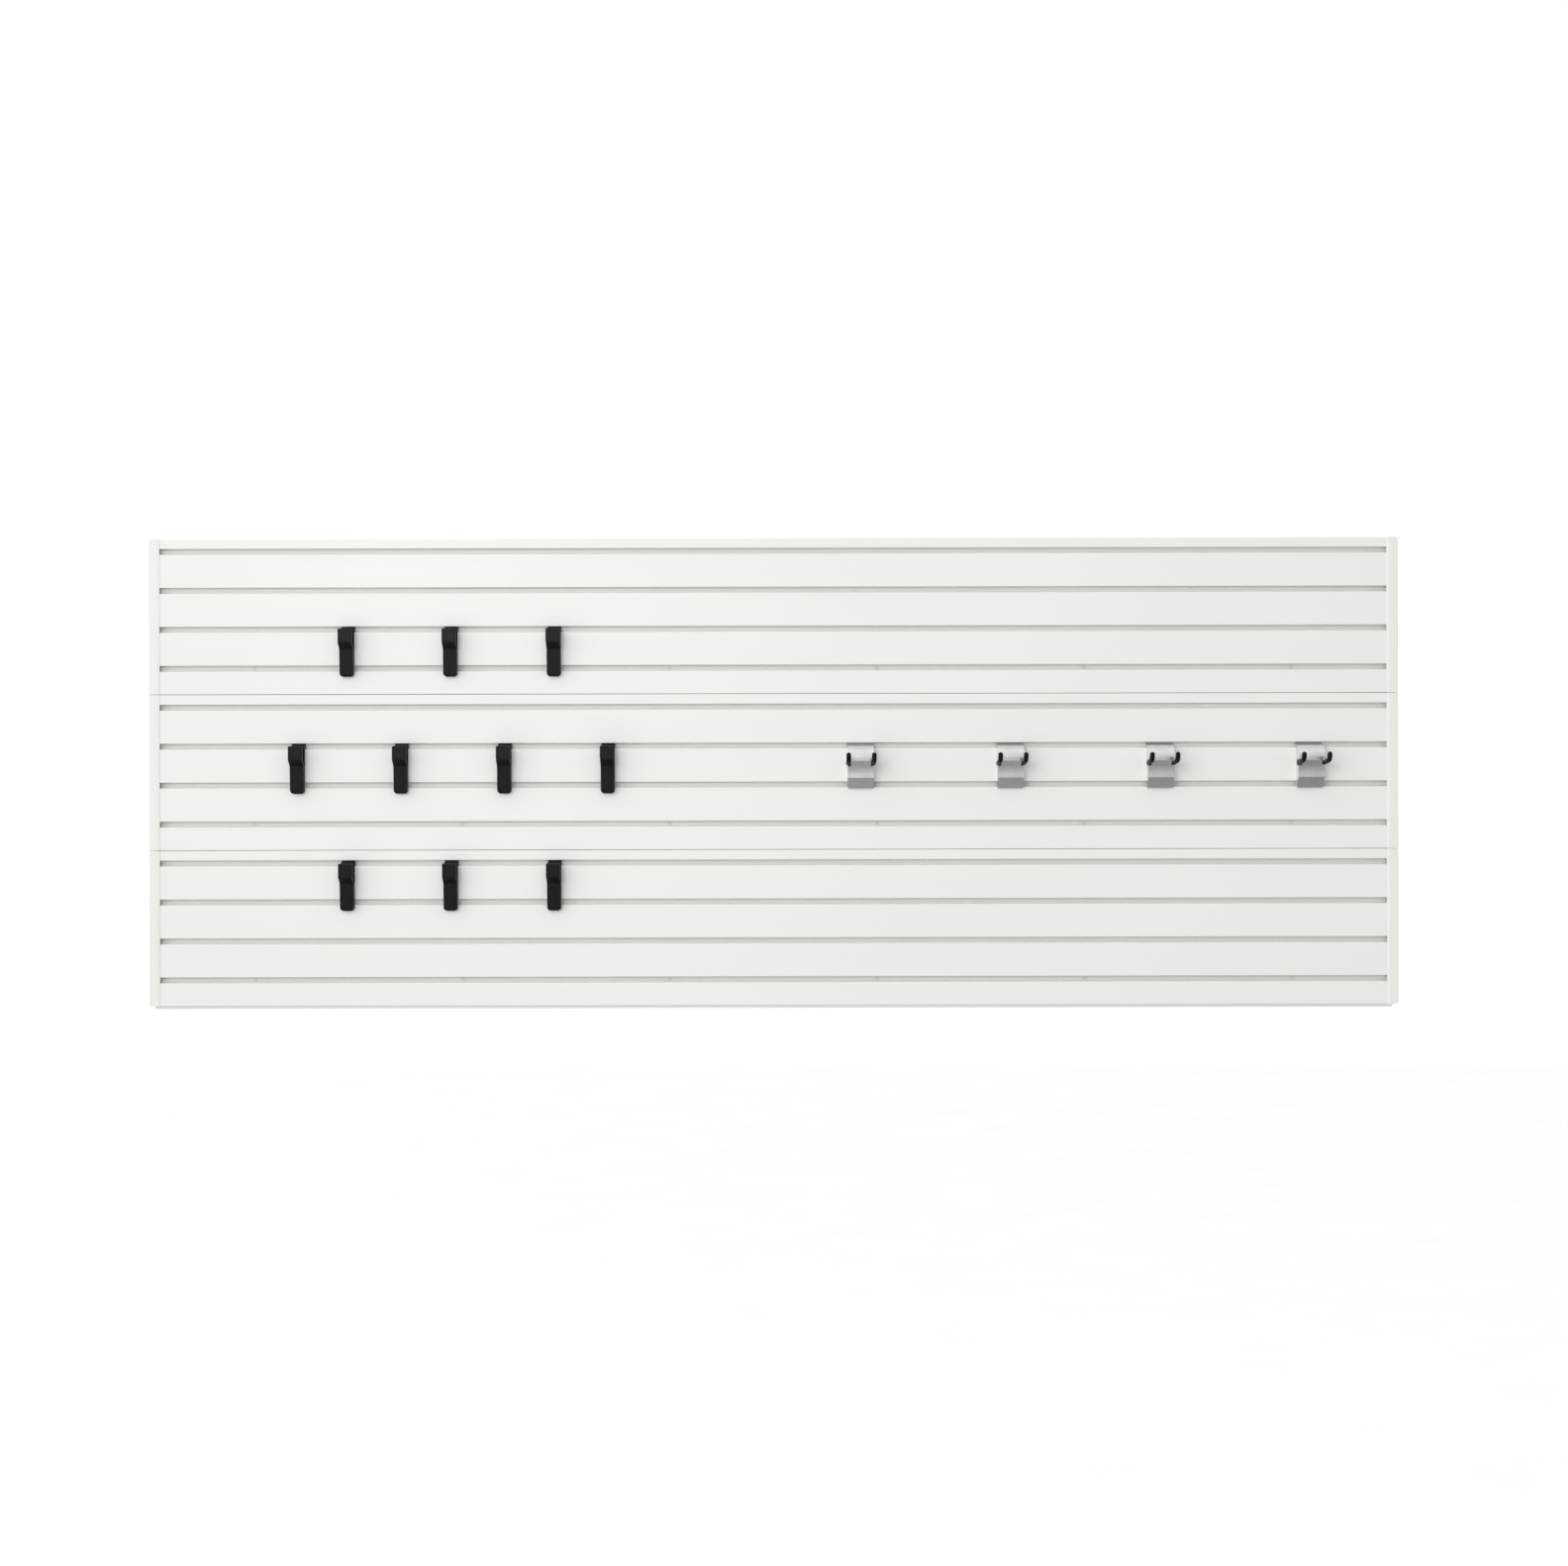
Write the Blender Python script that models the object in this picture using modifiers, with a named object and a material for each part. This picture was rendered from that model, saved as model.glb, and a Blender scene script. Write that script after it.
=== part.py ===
"""Wall-mounted slat panel set with end trims, slot hooks and twin-prong brackets.

Metres. +X is to the right and +Z up as seen from the room, and the wall lies on
the +Y side. The origin is the centre of the middle panel's flat back face.
"""

from math import cos, pi, radians, sin, tan

import bmesh
import bpy
from mathutils import Matrix, Vector

# Panels: three equal extrusions, stacked with a tongue and groove.
PANEL_COUNT = 3
PANEL_NAMES = ("top", "middle", "bottom")
PANEL_LENGTH = 2.4384
PANEL_PITCH = 0.3048
PANEL_DEPTH = 0.016
SEAM_GAP = 0.0008
TOP_EDGE_RADIUS = 0.0020
BOTTOM_EDGE_RADIUS = 0.001

# Slots: undercut grooves along the whole panel.
SLOTS_PER_PANEL = 4
SLOT_PITCH = PANEL_PITCH / SLOTS_PER_PANEL
FIRST_SLOT = SLOT_PITCH / 3
SLOT_MOUTH = 0.011
SLOT_LIP = 0.0045
SLOT_BACK = 0.005
UNDERCUT_UP = 0.009
UNDERCUT_DOWN = 0.0035
UPPER_LIP_RADIUS = 0.0014
LOWER_LIP_RADIUS = 0.0022

# Tongue under each panel and the groove in the top edge that takes it.
TONGUE_FRONT = 0.009
TONGUE_BACK = 0.004
TONGUE_LENGTH = 0.0064
TONGUE_END_CUT = 0.008
TONGUE_COPE = 0.0015
GROOVE_CLEARANCE = 0.0004
GROOVE_DEPTH = 0.007

# End trims: U channels, one for each end of each panel.
TRIM_FLANGE = 0.0224
TRIM_FRONT = 0.0012
TRIM_WALL = 0.0025
TRIM_REAR_LEG = 0.012
TRIM_REAR = 0.0014
TRIM_CORNER_RADIUS = 0.005
REBATE_DEPTH = 0.0018

# Screws, one on each stud line in the lowest slot of each panel.
STUD_PITCH = 0.4064
STUD_COUNT = 6
SCREW_SLOT = 3
SCREW_HEAD_RADIUS = 0.004
SCREW_HEAD_DEPTH = 0.0024
SCREW_SHANK_RADIUS = 0.002
SCREW_LENGTH = 0.038
SCREW_TIP = 0.006

# Hooks: row name, slot counted from the top, first place and count.
HOOK_PITCH = 0.202
HOOK_ROWS = (("top", 2, -0.832, 3), ("middle", 5, -0.929, 4), ("bottom", 8, -0.832, 3))
HOOK_WIDTH = 0.0265
HOOK_TIP_WIDTH = 0.028
HOOK_HEIGHT = 0.093
HOOK_REACH = 0.031
HOOK_TIP_HEIGHT = 0.0275
HOOK_TIP_DEPTH = 0.009
HOOK_TIP_PROUD = 0.0002
HOOK_TIP_INSET = 0.0022
HOOK_PLATE = 0.0045
HOOK_NECK_TOP = 0.0018
HOOK_CRADLE_FLOOR = 0.0390
HOOK_CRADLE_FLAT = 0.0060
HOOK_CRADLE_RISE = 0.0150
HOOK_WAIST = 0.0160
HOOK_WAIST_DROP = 0.0385
HOOK_FOOT = 0.0125
HOOK_BOTTOM_RADIUS = 0.0070

# Twin-prong brackets, in the fifth slot below the first one.
BRACKET_PITCH = 0.2925
BRACKET_FIRST = 0.1705
BRACKET_COUNT = 4
BRACKET_SLOT = 5
BRACKET_WIDTH = 0.0508
BRACKET_SKIN = 0.002
BRACKET_HEIGHT = 0.085
BRACKET_NOSE = 0.029
BRACKET_NOSE_DROP = 0.027
BRACKET_NECK_TOP = -0.0002
BRACKET_CROWN_START = 0.0015
BRACKET_WAIST = 0.0192
BRACKET_WAIST_DROP = 0.0445
BRACKET_WAIST_RADIUS = 0.0340
BRACKET_KINK = 0.0200
BRACKET_KINK_DROP = 0.0635
BRACKET_FOOT = 0.0050
BRACKET_BOTTOM_RADIUS = 0.0030
NOTCH_ABOVE = 0.0009
NOTCH_BELOW = 0.0023
NOTCH_WALL_SIDE = 0.0065

# A prong's centre line as (distance out of the panel's face, height).
PRONG_ROUTE = ((0.0110, -0.0365), (0.0290, -0.0345), (0.0620, -0.0305), (0.0665, -0.0150))
PRONG_BEND = 0.009
PRONG_SPACING = 0.0492
ROD_RADIUS = 0.0032
ROD_END_SHORT = 0.0045
SLEEVE_RADIUS = 0.0047
SLEEVE_BORE = 0.0036
SLEEVE_START = 0.0205

# Clearances, and the tab with which a hook or bracket hangs behind a slot's lip.
GAP = 0.0003
TOUCH = 0.0006
FLANGE_THICKNESS = 0.0026
FLANGE_RISE = 0.012
SEAT = GAP - SLOT_MOUTH / 2
CUT_OVERSHOOT = 0.01
SMOOTH_ANGLE = radians(32)


# ---------------------------------------------------------------- scene set-up

def clear_scene():
    for obj in list(bpy.data.objects):
        bpy.data.objects.remove(obj, do_unlink=True)


def new_collection(name, parent=None):
    collection = bpy.data.collections.new(name)
    (parent or bpy.context.scene.collection).children.link(collection)
    return collection


def new_material(name, colour, roughness, metallic=0.0):
    material = bpy.data.materials.new(name)
    material.use_nodes = True
    shader = material.node_tree.nodes["Principled BSDF"]
    shader.inputs["Base Color"].default_value = (*colour, 1.0)
    shader.inputs["Roughness"].default_value = roughness
    shader.inputs["Metallic"].default_value = metallic
    material.diffuse_color = (*colour, 1.0)
    return material


def add_object(name, mesh, collection, material=None):
    obj = bpy.data.objects.new(name, mesh)
    collection.objects.link(obj)
    if material:
        mesh.materials.append(material)
    return obj


# -------------------------------------------------------------------- outlines

def rounded(corners, steps=3):
    """Turn (u, v, radius) corners into outline points with an arc at each corner."""
    points = []
    count = len(corners)
    for index, (u, v, radius) in enumerate(corners):
        corner = Vector((u, v))
        if radius == 0:
            points.append(corner)
            continue
        before = (Vector(corners[index - 1][:2]) - corner).normalized()
        after = (Vector(corners[(index + 1) % count][:2]) - corner).normalized()
        half_angle = before.angle(after) / 2
        start = corner + before * (radius / tan(half_angle))
        centre = corner + (before + after).normalized() * (radius / sin(half_angle))
        sweep = (pi - 2 * half_angle) * (1 if before.cross(after) < 0 else -1)
        for step in range(steps + 1):
            turn = Matrix.Rotation(sweep * step / steps, 2)
            points.append(centre + turn @ (start - centre))
    return points


def extruded(name, points, length, place, collection, material=None, hidden=False):
    """Extrude a closed outline, centred on its plane, and place it by a matrix."""
    curve = bpy.data.curves.new(name, "CURVE")
    curve.dimensions = "2D"
    curve.fill_mode = "BOTH"
    curve.extrude = length / 2
    spline = curve.splines.new("POLY")
    spline.points.add(len(points) - 1)
    for point, (u, v) in zip(spline.points, points):
        point.co = (u, v, 0, 1)
    spline.use_cyclic_u = True
    return curve_to_mesh(name, curve, place, collection, material, hidden)


def curve_to_mesh(name, curve, place, collection, material, hidden=False):
    """Make a welded mesh object of a curve and remove the curve."""
    guide = bpy.data.objects.new(name + "_curve", curve)
    collection.objects.link(guide)
    bpy.context.view_layer.update()
    evaluated = guide.evaluated_get(bpy.context.evaluated_depsgraph_get())
    mesh = bpy.data.meshes.new_from_object(evaluated)
    bpy.data.objects.remove(guide, do_unlink=True)
    mesh.name = name
    bm = bmesh.new()
    bm.from_mesh(mesh)
    bmesh.ops.remove_doubles(bm, verts=bm.verts, dist=0.00001)
    bmesh.ops.recalc_face_normals(bm, faces=bm.faces)
    bm.to_mesh(mesh)
    bm.free()
    mesh.shade_smooth()
    mesh.set_sharp_from_angle(angle=SMOOTH_ANGLE)
    mesh.materials.clear()
    mesh.transform(place)
    obj = add_object(name, mesh, collection, material)
    if hidden:
        hide_cutter(obj)
    return obj


def hide_cutter(obj):
    obj.hide_render = True
    obj.display_type = "WIRE"


# A side view drawn as (y, z) and extruded along X.
SIDE_VIEW = Matrix(((0, 0, 1, 0), (1, 0, 0, 0), (0, 1, 0, 0), (0, 0, 0, 1)))
# A front view drawn as (x, z) and extruded along Y.
FRONT_VIEW = Matrix(((1, 0, 0, 0), (0, 0, -1, 0), (0, 1, 0, 0), (0, 0, 0, 1)))


def box(name, low, high, collection, hidden=False):
    centre = (Vector(low) + Vector(high)) / 2
    size = Vector(high) - Vector(low)
    bm = bmesh.new()
    bmesh.ops.create_cube(bm, size=1)
    place = Matrix.Translation(centre) @ Matrix.Diagonal((*size, 1))
    bmesh.ops.transform(bm, matrix=place, verts=bm.verts)
    mesh = bpy.data.meshes.new(name)
    bm.to_mesh(mesh)
    bm.free()
    obj = add_object(name, mesh, collection)
    if hidden:
        hide_cutter(obj)
    return obj


def boolean(obj, operation, cutter):
    modifier = obj.modifiers.new(cutter.name, "BOOLEAN")
    modifier.operation = operation
    modifier.object = cutter


def boolean_collection(obj, operation, collection):
    modifier = obj.modifiers.new(collection.name, "BOOLEAN")
    modifier.operation = operation
    modifier.operand_type = "COLLECTION"
    modifier.collection = collection


def evaluated_mesh(obj, name):
    """The object's mesh with its modifiers applied; the object is left as a guide."""
    bpy.context.view_layer.update()
    evaluated = obj.evaluated_get(bpy.context.evaluated_depsgraph_get())
    mesh = bpy.data.meshes.new_from_object(evaluated)
    mesh.name = name
    hide_cutter(obj)
    return mesh


# ---------------------------------------------------------------------- panels

def panel_top(index):
    return PANEL_PITCH * (PANEL_COUNT / 2 - index)


def slot_height(slot):
    """Height of a slot's centre line, counting every slot from the top."""
    return panel_top(0) - FIRST_SLOT - slot * SLOT_PITCH


def stud_places():
    first = -STUD_PITCH * (STUD_COUNT - 1) / 2
    return [first + stud * STUD_PITCH for stud in range(STUD_COUNT)]


def slot_corners(centre):
    """One undercut slot, from its upper front edge round to its lower front edge."""
    face = -PANEL_DEPTH
    lip = face + SLOT_LIP
    top = centre + SLOT_MOUTH / 2
    bottom = centre - SLOT_MOUTH / 2
    return [
        (face, top, UPPER_LIP_RADIUS),
        (lip, top, 0),
        (lip, top + UNDERCUT_UP, 0),
        (-SLOT_BACK, top + UNDERCUT_UP, 0),
        (-SLOT_BACK, bottom - UNDERCUT_DOWN, 0),
        (lip, bottom - UNDERCUT_DOWN, 0),
        (lip, bottom, 0),
        (face, bottom, LOWER_LIP_RADIUS),
    ]


def panel_corners(top):
    face_top = top - SEAM_GAP / 2
    face_bottom = top - PANEL_PITCH + SEAM_GAP / 2
    groove_floor = face_top - GROOVE_DEPTH
    groove_back = -TONGUE_BACK + GROOVE_CLEARANCE
    groove_front = -TONGUE_FRONT - GROOVE_CLEARANCE
    tongue_tip = face_bottom - TONGUE_LENGTH
    corners = [
        (0, face_bottom, 0),
        (0, face_top, 0),
        (groove_back, face_top, 0),
        (groove_back, groove_floor, 0),
        (groove_front, groove_floor, 0),
        (groove_front, face_top, 0),
        (-PANEL_DEPTH, face_top, TOP_EDGE_RADIUS),
    ]
    for slot in range(SLOTS_PER_PANEL):
        corners += slot_corners(top - FIRST_SLOT - slot * SLOT_PITCH)
    corners += [
        (-PANEL_DEPTH, face_bottom, BOTTOM_EDGE_RADIUS),
        (-TONGUE_FRONT, face_bottom, 0),
        (-TONGUE_FRONT, tongue_tip, 0),
        (-TONGUE_BACK, tongue_tip, 0),
        (-TONGUE_BACK, face_bottom, 0),
    ]
    return corners


def turned(name, profile, steps, collection, material=None, hidden=False):
    """Turn a (radius, y) profile about the Y axis."""
    bm = bmesh.new()
    verts = [bm.verts.new((radius, y, 0)) for radius, y in profile]
    for first, second in zip(verts, verts[1:]):
        bm.edges.new((first, second))
    mesh = bpy.data.meshes.new(name)
    bm.to_mesh(mesh)
    bm.free()
    obj = add_object(name, mesh, collection, material)
    screw = obj.modifiers.new("Turn", "SCREW")
    screw.axis = "Y"
    screw.steps = steps
    screw.render_steps = steps
    screw.use_merge_vertices = True
    screw.merge_threshold = 0.00001
    if hidden:
        hide_cutter(obj)
    return obj


def screw_hole(name, x, z, collection):
    """A countersunk clearance hole through the web behind the slot."""
    head = SCREW_HEAD_RADIUS + GAP
    shank = SCREW_SHANK_RADIUS + GAP
    rim = -SLOT_BACK * 1.2
    profile = [
        (0, CUT_OVERSHOOT),
        (shank, CUT_OVERSHOOT),
        (shank, SCREW_HEAD_DEPTH - SLOT_BACK),
        (head, GAP - SLOT_BACK),
        (head, rim),
        (0, rim),
    ]
    obj = turned(name, profile, 12, collection, hidden=True)
    obj.location = (x, 0, z)
    return obj


def screw(name, x, z, collection, material):
    """A countersunk screw with its head flush in the slot's back."""
    tip = SCREW_LENGTH - SLOT_BACK
    profile = [
        (0, tip),
        (SCREW_SHANK_RADIUS, tip - SCREW_TIP),
        (SCREW_SHANK_RADIUS, SCREW_HEAD_DEPTH - SLOT_BACK),
        (SCREW_HEAD_RADIUS, GAP - SLOT_BACK),
        (SCREW_HEAD_RADIUS, -SLOT_BACK),
        (0, -SLOT_BACK),
    ]
    obj = turned(name, profile, 10, collection, material)
    obj.location = (x, 0, z)
    return obj


def panel_end_cuts(index, collection):
    """Rear rebates for the trims' rear legs, and the tongue cut short at both ends."""
    top = panel_top(index)
    bottom = top - PANEL_PITCH
    end = PANEL_LENGTH / 2
    for side, word in ((-1, "left"), (1, "right")):
        outer = side * (end + CUT_OVERSHOOT)
        inner = side * (end - TRIM_REAR_LEG - GAP)
        box(f"rebate_{PANEL_NAMES[index]}_{word}",
            (min(outer, inner), -REBATE_DEPTH, bottom - CUT_OVERSHOOT),
            (max(outer, inner), CUT_OVERSHOOT, top + CUT_OVERSHOOT), collection, hidden=True)
        inner = side * (end - TONGUE_END_CUT)
        box(f"tongue_end_{PANEL_NAMES[index]}_{word}",
            (min(outer, inner), -TONGUE_FRONT - GAP, bottom - CUT_OVERSHOOT),
            (max(outer, inner), -TONGUE_BACK + GAP, bottom + TONGUE_COPE), collection, hidden=True)


def panel(index, parts, cutters, material):
    name = f"slat_panel_{PANEL_NAMES[index]}"
    points = rounded(panel_corners(panel_top(index)))
    obj = extruded(name, points, PANEL_LENGTH, SIDE_VIEW, parts, material)
    cuts = new_collection(name + "_cuts", cutters)
    panel_end_cuts(index, cuts)
    height = slot_height(index * SLOTS_PER_PANEL + SCREW_SLOT)
    for number, x in enumerate(stud_places(), 1):
        screw_hole(f"screw_hole_{PANEL_NAMES[index]}_{number}", x, height, cuts)
    boolean_collection(obj, "DIFFERENCE", cuts)


def panel_screws(index, parts, material):
    height = slot_height(index * SLOTS_PER_PANEL + SCREW_SLOT)
    for number, x in enumerate(stud_places(), 1):
        screw(f"screw_{PANEL_NAMES[index]}_{number}", x, height, parts, material)


# ----------------------------------------------------------------------- trims

def trim_corners(side):
    """Plan view of one U channel as (x, y), for the left (-1) or right (+1) end."""
    end = PANEL_LENGTH / 2
    outer = end + GAP + TRIM_WALL
    front = -PANEL_DEPTH - GAP - TRIM_FRONT
    rear = -REBATE_DEPTH + GAP
    corners = [
        (outer, front, 0.0012),
        (outer, rear + TRIM_REAR, 0),
        (end - TRIM_REAR_LEG, rear + TRIM_REAR, 0),
        (end - TRIM_REAR_LEG, rear, 0),
        (end + GAP, rear, 0),
        (end + GAP, front + TRIM_FRONT, 0),
        (outer - TRIM_FLANGE, front + TRIM_FRONT, 0),
        (outer - TRIM_FLANGE, front, 0.0005),
    ]
    return [(side * x, y, radius) for x, y, radius in corners]


def trim(index, side, word, parts, silhouette, material):
    top = panel_top(index) - SEAM_GAP / 2
    bottom = panel_top(index + 1) + SEAM_GAP / 2
    place = Matrix.Translation((0, 0, (top + bottom) / 2))
    name = f"end_trim_{PANEL_NAMES[index]}_{word}"
    obj = extruded(name, rounded(trim_corners(side), 2), top - bottom, place, parts, material)
    boolean(obj, "INTERSECT", silhouette)


def set_silhouette(collection):
    """The whole set seen from the front, with its four corners rounded."""
    half_width = PANEL_LENGTH / 2 + GAP + TRIM_WALL + 0.0001
    half_height = PANEL_PITCH * PANEL_COUNT / 2 - SEAM_GAP / 2 + 0.0001
    corners = [
        (-half_width, -half_height, TRIM_CORNER_RADIUS),
        (half_width, -half_height, TRIM_CORNER_RADIUS),
        (half_width, half_height, TRIM_CORNER_RADIUS),
        (-half_width, half_height, TRIM_CORNER_RADIUS),
    ]
    return extruded("set_silhouette", rounded(corners, 5), 0.1, FRONT_VIEW, collection, hidden=True)


def round_bottom(obj, half_width, height, radius, cutters):
    """Round an accessory's two bottom corners as seen from the front."""
    bottom = -height - CUT_OVERSHOOT
    for side, word in ((-1, "left"), (1, "right")):
        outline = []
        for step in range(5):
            angle = radians(90) * step / 4
            across = half_width - radius + radius * cos(angle)
            outline.append((side * across, radius - radius * sin(angle) - height))
        outline += [
            (side * (half_width - radius), bottom),
            (side * (half_width + CUT_OVERSHOOT), bottom),
            (side * (half_width + CUT_OVERSHOOT), radius - height),
        ]
        name = f"{obj.name}_corner_{word}"
        cutter = extruded(name, outline, 0.2, FRONT_VIEW, cutters, hidden=True)
        boolean(obj, "DIFFERENCE", cutter)


# ----------------------------------------------------------------------- hooks

def on_face(corners):
    """Corners given as (distance out of the panel's face, height) become (y, z)."""
    return [(-PANEL_DEPTH - out, height, radius) for out, height, radius in corners]


def flange_corners(neck_top):
    """The tab behind the slot's upper lip and the top of the neck through the slot."""
    behind = -SLOT_LIP - GAP
    return [
        (behind - FLANGE_THICKNESS, FLANGE_RISE, 0.0008),
        (behind, FLANGE_RISE, 0.0008),
        (behind, neck_top, 0),
    ]


def hook_corners():
    inner_tip = HOOK_REACH - HOOK_TIP_DEPTH
    return on_face(flange_corners(HOOK_NECK_TOP) + [
        (HOOK_PLATE, HOOK_NECK_TOP, 0.0035),
        (HOOK_PLATE, -HOOK_CRADLE_FLOOR, 0.0025),
        (HOOK_PLATE + HOOK_CRADLE_FLAT, -HOOK_CRADLE_FLOOR, 0.0020),
        (inner_tip, HOOK_CRADLE_RISE - HOOK_CRADLE_FLOOR, 0.0050),
        (inner_tip, 0, 0.0030),
        (HOOK_REACH, 0, 0.0040),
        (HOOK_REACH, -HOOK_TIP_HEIGHT, 0.0030),
        (HOOK_WAIST, -HOOK_WAIST_DROP, 0.0060),
        (HOOK_FOOT, -HOOK_HEIGHT, 0.0060),
        (GAP, -HOOK_HEIGHT, 0.0015),
        (GAP, SEAT, 0),
        (-SLOT_LIP - GAP - FLANGE_THICKNESS, SEAT, 0.0008),
    ])


def hook_tip_block(name, collection):
    """The broad front block at the hook's tip, with its upright edges rounded."""
    edge = HOOK_TIP_WIDTH / 2
    back = -PANEL_DEPTH - HOOK_REACH + HOOK_TIP_DEPTH + HOOK_TIP_PROUD
    front = -PANEL_DEPTH - HOOK_REACH - HOOK_TIP_PROUD
    corners = [
        (-edge, back, 0.001),
        (-edge, front, 0.0035),
        (edge, front, 0.0035),
        (edge, back, 0.001),
    ]
    height = HOOK_TIP_HEIGHT - 0.005
    place = Matrix.Translation((0, 0, -HOOK_TIP_INSET - height / 2))
    return extruded(name, rounded(corners), height, place, collection, hidden=True)


def hook_mesh(cutters):
    """One hook at x = 0 with its slot's centre line at z = 0."""
    body = extruded("hook_form", rounded(hook_corners()), HOOK_WIDTH, SIDE_VIEW, cutters)
    boolean(body, "UNION", hook_tip_block("hook_tip_block", cutters))
    round_bottom(body, HOOK_WIDTH / 2, HOOK_HEIGHT, HOOK_BOTTOM_RADIUS, cutters)
    return evaluated_mesh(body, "slot_hook")


def hooks(parts, cutters, material):
    mesh = hook_mesh(cutters)
    mesh.materials.clear()
    mesh.materials.append(material)
    for row, slot, first, count in HOOK_ROWS:
        for number in range(count):
            obj = add_object(f"hook_{row}_{number + 1}", mesh, parts)
            obj.location = (first + number * HOOK_PITCH, 0, slot_height(slot))


# -------------------------------------------------------------------- brackets

def crown_arc(start, nose, top, steps=7):
    """Quarter ellipse from the slot's neck out and down to the bracket's nose."""
    points = []
    for step in range(steps + 1):
        angle = radians(90) * step / steps
        out = start + (nose - start) * sin(angle)
        height = (top + BRACKET_NOSE_DROP) * cos(angle) - BRACKET_NOSE_DROP
        points.append((out, height, 0))
    return points


def bracket_corners():
    crown = crown_arc(BRACKET_CROWN_START, BRACKET_NOSE, BRACKET_NECK_TOP)
    return on_face(flange_corners(BRACKET_NECK_TOP) + crown + [
        (BRACKET_NOSE, -BRACKET_NOSE_DROP - 0.004, 0.0025),
        (BRACKET_WAIST, -BRACKET_WAIST_DROP, BRACKET_WAIST_RADIUS),
        (BRACKET_KINK, -BRACKET_KINK_DROP, 0.0010),
        (BRACKET_FOOT, -BRACKET_HEIGHT, 0.0030),
        (GAP, -BRACKET_HEIGHT, 0),
        (GAP, SEAT, 0),
        (-SLOT_LIP - GAP - FLANGE_THICKNESS, SEAT, 0.0008),
    ])


def bracket_hollow_corners():
    """The space behind the skin, open towards the wall."""
    nose = BRACKET_NOSE - BRACKET_SKIN
    crown = crown_arc(0.0040, nose, SEAT - GAP)
    return on_face([(-CUT_OVERSHOOT, -0.0075, 0), (0.0030, -0.0065, 0)] + crown[1:] + [
        (nose, -BRACKET_NOSE_DROP - 0.0035, 0.0010),
        (BRACKET_WAIST - BRACKET_SKIN, 0.0005 - BRACKET_WAIST_DROP, BRACKET_WAIST_RADIUS),
        (BRACKET_KINK - BRACKET_SKIN, 0.0007 - BRACKET_KINK_DROP, 0),
        (BRACKET_FOOT - 0.0014, -BRACKET_HEIGHT + BRACKET_SKIN, 0),
        (-CUT_OVERSHOOT, -BRACKET_HEIGHT + BRACKET_SKIN, 0),
    ])


def bracket_body_mesh(cutters):
    """The formed skin with its two cheeks, notched where the prongs come out."""
    body = extruded("bracket_form", rounded(bracket_corners()), BRACKET_WIDTH, SIDE_VIEW, cutters)
    hollow = extruded("bracket_hollow", rounded(bracket_hollow_corners()),
                      BRACKET_WIDTH - 2 * BRACKET_SKIN, SIDE_VIEW, cutters, hidden=True)
    boolean(body, "DIFFERENCE", hollow)
    round_bottom(body, BRACKET_WIDTH / 2, BRACKET_HEIGHT, BRACKET_BOTTOM_RADIUS, cutters)
    notch_top = PRONG_ROUTE[1][1] + SLEEVE_RADIUS + NOTCH_ABOVE
    notch_bottom = PRONG_ROUTE[1][1] - SLEEVE_RADIUS - NOTCH_BELOW
    front = -PANEL_DEPTH - BRACKET_NOSE - CUT_OVERSHOOT
    back = -PANEL_DEPTH - NOTCH_WALL_SIDE
    for side, word in ((-1, "left"), (1, "right")):
        inner = side * (PRONG_SPACING / 2 - SLEEVE_RADIUS - TOUCH)
        outer = side * (BRACKET_WIDTH / 2 + CUT_OVERSHOOT)
        notch = box(f"prong_notch_{word}", (min(inner, outer), front, notch_bottom),
                    (max(inner, outer), back, notch_top), cutters, hidden=True)
        boolean(body, "DIFFERENCE", notch)
    return evaluated_mesh(body, "bracket_body")


def prong_line(side):
    x = side * PRONG_SPACING / 2
    return [Vector((x, -PANEL_DEPTH - out, height)) for out, height in PRONG_ROUTE]


def filleted(corners, radius, steps):
    """Replace each inner corner of a 3D route by an arc."""
    points = [corners[0]]
    for before, corner, after in zip(corners, corners[1:], corners[2:]):
        back = (before - corner).normalized()
        onward = (after - corner).normalized()
        half_angle = back.angle(onward) / 2
        if pi - 2 * half_angle < radians(8):
            points.append(corner)
            continue
        shorter = min((before - corner).length, (after - corner).length)
        reach = min(radius / tan(half_angle), shorter * 0.8)
        centre = corner + (back + onward).normalized() * (reach / cos(half_angle))
        start = corner + back * reach - centre
        end = (corner + onward * reach - centre).normalized()
        spokes = [start.normalized().slerp(end, step / steps) for step in range(steps + 1)]
        points += [centre + spoke * start.length for spoke in spokes]
    points.append(corners[-1])
    return points


def tube(name, points, radius, sides_resolution, place, collection, material=None, taper=None):
    curve = bpy.data.curves.new(name, "CURVE")
    curve.dimensions = "3D"
    curve.bevel_depth = radius
    curve.bevel_resolution = sides_resolution
    curve.use_fill_caps = True
    spline = curve.splines.new("POLY")
    spline.points.add(len(points) - 1)
    for index, (target, point) in enumerate(zip(spline.points, points)):
        target.co = (*point, 1)
        if taper:
            target.radius = taper[index]
    return curve_to_mesh(name, curve, place, collection, material)


def shortened(points, length):
    """The route without its last stretch of a given length."""
    direction = (points[-2] - points[-1]).normalized()
    return points[:-1] + [points[-1] + direction * length]


def rod_mesh(cutters):
    """One steel rod bent to a U: both prongs and the bar behind the skin."""
    left = shortened(prong_line(-1), ROD_END_SHORT)
    right = shortened(prong_line(1), ROD_END_SHORT)
    route = filleted(list(reversed(left)) + right, PRONG_BEND, 3)
    obj = tube("prong_rod_form", route, ROD_RADIUS, 2, Matrix(), cutters)
    hide_cutter(obj)
    return obj.data


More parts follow.
